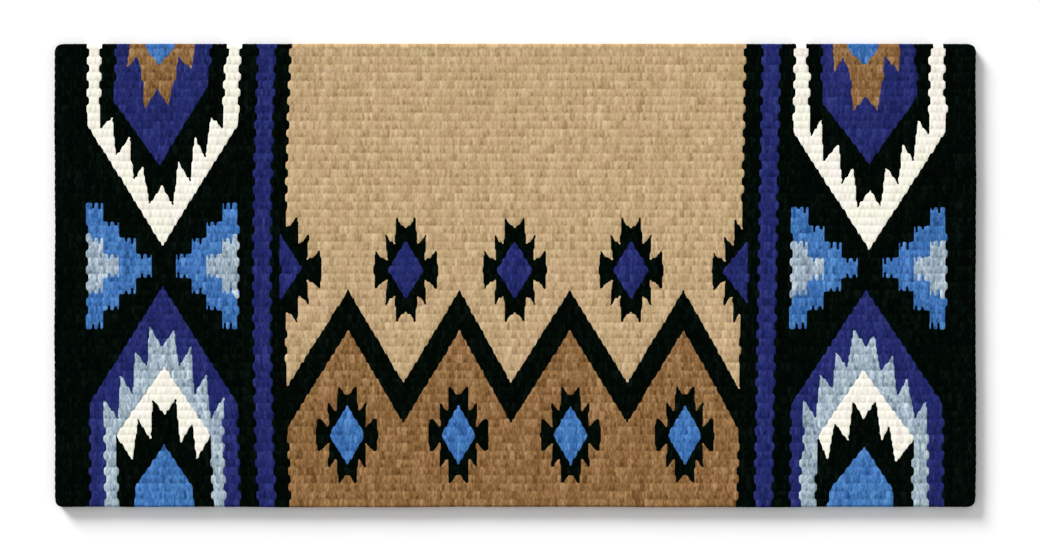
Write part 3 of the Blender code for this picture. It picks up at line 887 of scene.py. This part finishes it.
# %% Nodes of a material
def add_node(tree, kind, inputs=None, **settings):
    """A new node with these settings. Each input, by name or number, gets a socket linked or a value set."""
    node = tree.nodes.new(kind)
    for key, value in settings.items():
        setattr(node, key, value)
    for key, value in (inputs or {}).items():
        if isinstance(value, bpy.types.NodeSocket):
            tree.links.new(value, node.inputs[key])
        else:
            node.inputs[key].default_value = value
    return node


def weighted_sum(tree, first, second, weight):
    """first + weight * second, where second runs about a half and a half adds nothing."""
    terms = {0: second, 1: weight, 2: -weight / 2}
    scaled = add_node(tree, "ShaderNodeMath", terms, operation="MULTIPLY_ADD")
    return add_node(tree, "ShaderNodeMath", {0: first, 1: scaled.outputs[0]}, operation="ADD").outputs[0]


def noise(tree, place, across, along, detail, turn=0):
    """A noise with this many features to a metre across the blanket and along the yarn."""
    stretch = {"Vector": place, "Rotation": (0, 0, turn), "Scale": (across, along, along)}
    stretched = add_node(tree, "ShaderNodeMapping", stretch).outputs[0]
    grain = {"Vector": stretched, "Scale": 1, "Detail": detail}
    return add_node(tree, "ShaderNodeTexNoise", grain).outputs["Fac"]


# %% Colour of a stroke
TONE_WEIGHT = 0.13
FIBRE_WEIGHT = 0.4
STREAK_WEIGHT = 1.1


def stroke_colour(tree, fibres, streaks, dark, middle, light):
    """From dark to light by the tone of the stroke, its fibres and its streaks."""
    tone = add_node(tree, "ShaderNodeAttribute", attribute_name="tone").outputs["Fac"]
    share = add_node(tree, "ShaderNodeMath", {0: tone, 1: TONE_WEIGHT, 2: 0.5}, operation="MULTIPLY_ADD")
    share = weighted_sum(tree, share.outputs[0], fibres, FIBRE_WEIGHT)
    share = weighted_sum(tree, share, streaks, STREAK_WEIGHT)
    ramp = add_node(tree, "ShaderNodeValToRGB", {"Fac": share})
    ramp.color_ramp.elements[0].color = (*dark, 1)
    ramp.color_ramp.elements[1].color = (*light, 1)
    ramp.color_ramp.elements.new(0.5).color = (*middle, 1)
    return ramp.outputs["Color"]


# %% Shades over the colour
GREENISH = (0.975, 1, 0.95, 1)
PURPLISH = (1.02, 0.992, 1.04, 1)
PATCH_RANGE = (0.3, 0.7)
HOLLOW_TOP = 0.6


def shaded(tree, colour, patches, hollow):
    """The colour with a faint cast that changes over the cloth, and a painted shade in the grooves."""
    cast = add_node(tree, "ShaderNodeValToRGB", {"Fac": patches})
    for element, position, tint in zip(cast.color_ramp.elements, PATCH_RANGE, (GREENISH, PURPLISH)):
        element.position, element.color = position, tint
    crest = add_node(tree, "ShaderNodeAttribute", attribute_name="crest").outputs["Fac"]
    # Painted shade: the lower a point lies below the crest, the darker its colour, down to hollow.
    deep = add_node(tree, "ShaderNodeMapRange", {"Value": crest, "From Max": HOLLOW_TOP, "To Min": hollow})
    for factor in (cast.outputs["Color"], deep.outputs["Result"]):
        mixed = {"Factor": 1, "A": colour, "B": factor}
        shade = add_node(tree, "ShaderNodeMix", mixed, data_type="RGBA", blend_type="MULTIPLY")
        colour = shade.outputs["Result"]
    return colour


# %% A yarn's material
FIBRES_PER_METRE = 2600
FIBRE_LENGTHS = 9
FIBRE_SLANT = math.radians(14)
STREAKS_PER_METRE = 520
STREAK_LENGTHS = 2.5
PATCHES_PER_METRE = 45
FINISH = {"Roughness": 0.95, "Specular IOR Level": 0.015, "Sheen Roughness": 0.5}
SHEEN = 0.04
FIBRE_BUMP = 0.00025


def wool(name, dark, middle, light, hollow):
    """A wool with its darkest, usual and lightest tone. hollow is how much of its colour the grooves keep."""
    material = bpy.data.materials.new(name)
    material.use_nodes = True
    tree = material.node_tree
    shader = tree.nodes["Principled BSDF"]
    for key, value in FINISH.items():
        shader.inputs[key].default_value = value
    shader.inputs["Sheen Weight"].default_value = SHEEN * middle[1] ** 0.5

    place = add_node(tree, "ShaderNodeTexCoord").outputs["Object"]
    fibres = noise(tree, place, FIBRES_PER_METRE, FIBRES_PER_METRE / FIBRE_LENGTHS, 3, FIBRE_SLANT)
    streaks = noise(tree, place, STREAKS_PER_METRE, STREAKS_PER_METRE / STREAK_LENGTHS, 1)
    patches = noise(tree, place, PATCHES_PER_METRE, PATCHES_PER_METRE, 2)
    colour = stroke_colour(tree, fibres, streaks, dark, middle, light)
    # The grooves get a painted shade: hollow is how much of its colour they keep.
    tree.links.new(shaded(tree, colour, patches, hollow), shader.inputs["Base Color"])
    bump = add_node(tree, "ShaderNodeBump", {"Strength": 0.5, "Distance": FIBRE_BUMP, "Height": fibres})
    tree.links.new(bump.outputs["Normal"], shader.inputs["Normal"])
    return material


# %% Seven yarns and a cord
# Darkest, usual and lightest tone of each yarn, and how much colour its grooves keep under painted shade.
TONES = {
    "black_wool": ((0, 0.0004, 0.0001), (0.0001, 0.0018, 0.0008), (0.0035, 0.007, 0.005), 0.7),
    "navy_wool": ((0.007, 0.0115, 0.07), (0.016, 0.0215, 0.13), (0.036, 0.046, 0.21), 0.6),
    "white_wool": ((0.74, 0.7, 0.6), (0.88, 0.85, 0.745), (0.95, 0.93, 0.86), 0.95),
    "sand_wool": ((0.33, 0.22, 0.11), (0.505, 0.354, 0.19), (0.65, 0.5, 0.305), 0.75),
    "brown_wool": ((0.12, 0.055, 0.016), (0.25, 0.129, 0.047), (0.43, 0.25, 0.118), 0.65),
    "sky_wool": ((0.018, 0.072, 0.22), (0.046, 0.155, 0.42), (0.112, 0.285, 0.63), 0.65),
    "pale_wool": ((0.13, 0.18, 0.235), (0.315, 0.405, 0.48), (0.64, 0.73, 0.79), 0.7),
    "warp_cord": ((0.42, 0.37, 0.28), (0.58, 0.53, 0.43), (0.72, 0.67, 0.57), 1),
}
wools = {name: wool(name, *shades) for name, shades in TONES.items()}
print(sorted(wools))

# %% [markdown]
# ## The pieces
#
# On the upper leaf's outer face every colour area of the part is a piece of its own. On the other faces
# the same yarns show in the same places, because a tapestry is alike on both sides, and there one piece
# holds a yarn's strokes of one face.

# %% Make the pieces of a face
made = {"upper_leaf": [], "lower_leaf": [], "fold": []}


def add_object(name, data):
    """A new object of the scene that shows this mesh, lamp or camera."""
    thing = bpy.data.objects.new(name, data)
    bpy.context.scene.collection.objects.link(thing)
    return thing


def add_piece(name, mesh, slot, node_name):
    """Link a piece, give it its wool, and let it stand for its node."""
    mesh.materials.append(wools[slot])
    piece = add_object(name, mesh)
    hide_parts(node_name)
    return piece


def yarn_groups(area):
    """The faces of each yarn, with black parted into borders and field."""
    groups = {}
    for number, name in enumerate(areas):
        slot = slot_of[name]
        colour = slot.split("_")[0]
        if colour == "black":
            colour += "_border" if name.startswith(("left_", "right_")) else "_field"
        mask = area == number
        if mask.any():
            _, so_far = groups.get(colour, (slot, np.zeros(area.shape, bool)))
            groups[colour] = (slot, so_far | mask)
    return groups


def add_face(label, node_name, panel, flip, body):
    """The pieces of a face that has one node in the part, by yarn."""
    pieces = []
    for colour, (slot, mask) in sorted(yarn_groups(panel["area"]).items()):
        name = f"{label}_{colour}"
        piece = add_piece(name, piece_mesh(name, panel, mask, flip), slot, node_name)
        if body:
            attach(piece, body)
            made[body].append(piece)
        pieces.append(piece)
    return pieces


# %% The upper leaf's outer face
UPPER_SEED, LOWER_SEED = 1.3, 4.1
panel = leaf_panel(upper_middle, 1, 0, UPPER_SEED, RIB_STEPS)
for number, name in enumerate(areas):
    mesh = piece_mesh(name + "_yarn", panel, panel["area"] == number, False)
    piece = add_piece(name + "_yarn", mesh, slot_of[name], name)
    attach(piece, "upper_leaf")
    made["upper_leaf"].append(piece)
largest = max(made["upper_leaf"], key=lambda piece: len(piece.data.loops))
print("largest piece", largest.name, len(largest.data.loops) - 2 * len(largest.data.polygons), "triangles")

# %% The other three faces
panel = leaf_panel(upper_middle, -1, 1, UPPER_SEED, COARSE_STEPS)
add_face("upper_inner", "upper_inner_weft", panel, True, "upper_leaf")
panel = leaf_panel(lower_middle, 1, 1, LOWER_SEED, COARSE_STEPS)
add_face("lower_inner", "lower_inner_weft", panel, False, "lower_leaf")
panel = leaf_panel(lower_middle, -1, 0, LOWER_SEED, RIB_STEPS)
add_face("lower_outer", "lower_outer_weft", panel, True, "lower_leaf")
print({body: len(pieces) for body, pieces in made.items()})

# %% [markdown]
# ## The fold
#
# One rib goes round the fold, with its crest on the outermost line. When the blanket opens, each half of
# that rib bends between two bodies of the part: the lower leaf and the fold, and the fold and the upper
# leaf. So the rib is cut along its crest into two halves, which are attached to no body here.

# %% The fold's two faces, in two halves
for upper in (False, True):
    half_name = "upper" if upper else "lower"
    for label, node_name, outwards, turned, reach in (
        ("outer", "fold_outer_weft", 1, 0, fold_middle_radius + core_half),
        ("inner", "fold_inner_weft", -1, 1, fold_middle_radius - half_cloth + GROOVE_DEPTH),
    ):
        panel = fold_panel(upper, outwards, turned)
        pieces = add_face(f"fold_{label}_{half_name}", node_name, panel, outwards > 0, None)
        for piece in pieces:
            if upper:
                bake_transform(piece)
            else:
                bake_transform(piece)
        made["fold"] += pieces
print(len(made["fold"]), "pieces round the fold")

# %% [markdown]
# ## Inside the cloth
#
# The warp cords never show, but they are what the cloth hangs on, so each leaf gets its sheet of them: a
# corrugated sheet with one cord to a rib. It is also the one unbroken sheet of a leaf.

# %% Warp sheets
CORD_STEPS = 6
WEB_SHARE = 0.45
CORD_FILL = 0.9
LAST_STEPS = 4
flat_half_width = half_width - half_cloth


def warp_sheet(name, node_name, middle, body, seed):
    """A closed sheet of cords that run across one leaf, with the same rounded corners as its strokes."""
    last = flat_length / RIB_WIDTH
    whole_ribs = np.arange(RIBS * CORD_STEPS + 1) / CORD_STEPS
    shares = np.append(whole_ribs, np.linspace(RIBS, last, LAST_STEPS + 1)[1:])
    swell = WEB_SHARE + (1 - WEB_SHARE) * np.abs(np.sin(np.pi * shares))
    y = fold_y - shares * RIB_WIDTH
    half = CORD_FILL * core_half * swell
    points, faces = [], []
    for x in (-flat_half_width, flat_half_width):
        points += [(x, b, middle + h) for b, h in zip(y, half)]
        points += [(x, b, middle - h) for b, h in zip(y, half)]
    count = len(shares)
    for k in range(count - 1):
        faces.append((k, k + 1, 2 * count + k + 1, 2 * count + k))
        faces.append((count + k + 1, count + k, 3 * count + k, 3 * count + k + 1))
        faces.append((k + 1, k, count + k, count + k + 1))
        faces.append((2 * count + k, 2 * count + k + 1, 3 * count + k + 1, 3 * count + k))
    for k in (0, count - 1):
        end = (k, 2 * count + k, 3 * count + k, count + k)
        faces.append(end if k == 0 else end[::-1])
    mesh = bpy.data.meshes.new(name)
    mesh.from_pydata(shaped(np.array(points), seed).tolist(), [], faces)
    mesh.validate()
    piece = add_piece(name, mesh, "warp_cord", node_name)
    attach(piece, body)
    return piece


upper_sheet = warp_sheet("upper_warp_cords", "upper_warps", upper_middle, "upper_leaf", UPPER_SEED)
lower_sheet = warp_sheet("lower_warp_cords", "lower_warps", lower_middle, "lower_leaf", LOWER_SEED)
print("a sheet of", RIBS, "cords in each leaf")

# %% The cord in the fold
CORD_SIDES = 12
FOLD_CORD_THICK = 0.8
FOLD_CORD_HIGH = 1.6


def fold_cord():
    """The one cord inside the rib that goes round the fold."""
    points, faces = [], []
    for x in (-flat_half_width + CORNER_RADIUS, flat_half_width - CORNER_RADIUS):
        for k in range(CORD_SIDES):
            angle = 2 * math.pi * k / CORD_SIDES
            y = fold_y + fold_middle_radius + FOLD_CORD_THICK * core_half * math.cos(angle)
            points.append((x, y, fold_z + FOLD_CORD_HIGH * core_half * math.sin(angle)))
    for k in range(CORD_SIDES):
        after = (k + 1) % CORD_SIDES
        faces.append((k, after, CORD_SIDES + after, CORD_SIDES + k))
    faces.append(tuple(range(CORD_SIDES))[::-1])
    faces.append(tuple(range(CORD_SIDES, 2 * CORD_SIDES)))
    mesh = bpy.data.meshes.new("fold_warp_cord")
    mesh.from_pydata(points, [], faces)
    piece = add_piece("fold_warp_cord", mesh, "warp_cord", "fold_warps")
    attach(piece, "fold")
    return piece


fold_core = fold_cord()
print("made", fold_core.name)

# %% [markdown]
# ## Floor, light and camera
#
# The photograph is a catalogue picture from straight above, on white, with a soft shadow to the lower
# right. A few area lamps could light it, but their light would fall off across a metre of cloth. So the key
# light is a wide sun from the upper left, even as a far softbox, and the world fills in. The floor is white
# to the camera and a little darker to everything else, so that it doesn't light the cloth twice. The world
# behind the floor's far edge is white to the camera in the same way.

# %% What the camera sees directly
def seen_directly(tree):
    """A socket that is 1 for rays from the camera, off a gloss or through glass, and 0 for all others."""
    rays = add_node(tree, "ShaderNodeLightPath")
    seen = rays.outputs["Is Camera Ray"]
    for kind in ("Is Glossy Ray", "Is Transmission Ray"):
        either = add_node(tree, "ShaderNodeMath", {0: seen, 1: rays.outputs[kind]}, operation="MAXIMUM")
        seen = either.outputs[0]
    return seen


# %% Floor
FLOOR_SIZE = 12
FLOOR_TINT = (0.8, 0.8, 0.8, 1)
FLOOR_SEEN_TINT = (0.98, 0.98, 0.98, 1)
floor_mesh = bpy.data.meshes.new("floor")
floor_corners = [(x * FLOOR_SIZE / 2, y * FLOOR_SIZE / 2, 0) for x, y in ((-1, -1), (1, -1), (1, 1), (-1, 1))]
floor_mesh.from_pydata(floor_corners, [], [(0, 1, 2, 3)])
floor = add_object("floor", floor_mesh)
floor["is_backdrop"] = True
paper = bpy.data.materials.new("paper")
paper.use_nodes = True
tree = paper.node_tree
shader = tree.nodes["Principled BSDF"]
shader.inputs["Roughness"].default_value = 1
shader.inputs["Specular IOR Level"].default_value = 0
tints = {"A": FLOOR_TINT, "B": FLOOR_SEEN_TINT, "Factor": seen_directly(tree)}
tint = add_node(tree, "ShaderNodeMix", tints, data_type="RGBA")
tree.links.new(tint.outputs["Result"], shader.inputs["Base Color"])
floor_mesh.materials.append(paper)
print("floor", FLOOR_SIZE, "m wide")

# %% Key light
KEY_DIRECTION = Vector((-1.6, 2.05, 1)).normalized()
KEY_WIDTH = math.radians(24)
KEY_ENERGY = 4.6
key = add_object("key", bpy.data.lights.new("key", "SUN"))
key.data.energy = KEY_ENERGY
key.data.angle = KEY_WIDTH
key.location = 3 * KEY_DIRECTION
key.rotation_mode = "QUATERNION"
key.rotation_quaternion = (-KEY_DIRECTION).to_track_quat("-Z", "Y")
print("key light from", tuple(KEY_DIRECTION))

# %% World
FILL_STRENGTH = 0.54
world = bpy.data.worlds.new("studio")
world.use_nodes = True
bpy.context.scene.world = world
tree = world.node_tree
background = tree.nodes["Background"]
background.inputs["Color"].default_value = (1, 1, 1, 1)
shares = {0: seen_directly(tree), 1: 1 - FILL_STRENGTH, 2: FILL_STRENGTH}
strength = add_node(tree, "ShaderNodeMath", shares, operation="MULTIPLY_ADD")
tree.links.new(strength.outputs[0], background.inputs["Strength"])

# %% Camera
FRAME_WIDTH = 1040
METRES_PER_PIXEL = 0.0009911
CAMERA_HEIGHT = 3.2
CAMERA_ASIDE = 0.00466
SENSOR_WIDTH = 36
camera = add_object("camera", bpy.data.cameras.new("camera"))
camera.location = (CAMERA_ASIDE, 0, CAMERA_HEIGHT)
camera.data.sensor_width = SENSOR_WIDTH
camera.data.lens = SENSOR_WIDTH * (CAMERA_HEIGHT - cad_high.z) / (FRAME_WIDTH * METRES_PER_PIXEL)
print("lens", round(camera.data.lens, 1), "mm")
bpy.context.scene.camera = camera
bpy.context.scene.view_settings.view_transform = "Standard"

# %% Print the size and finish
low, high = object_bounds()
print("visual box", tuple(low), tuple(high))
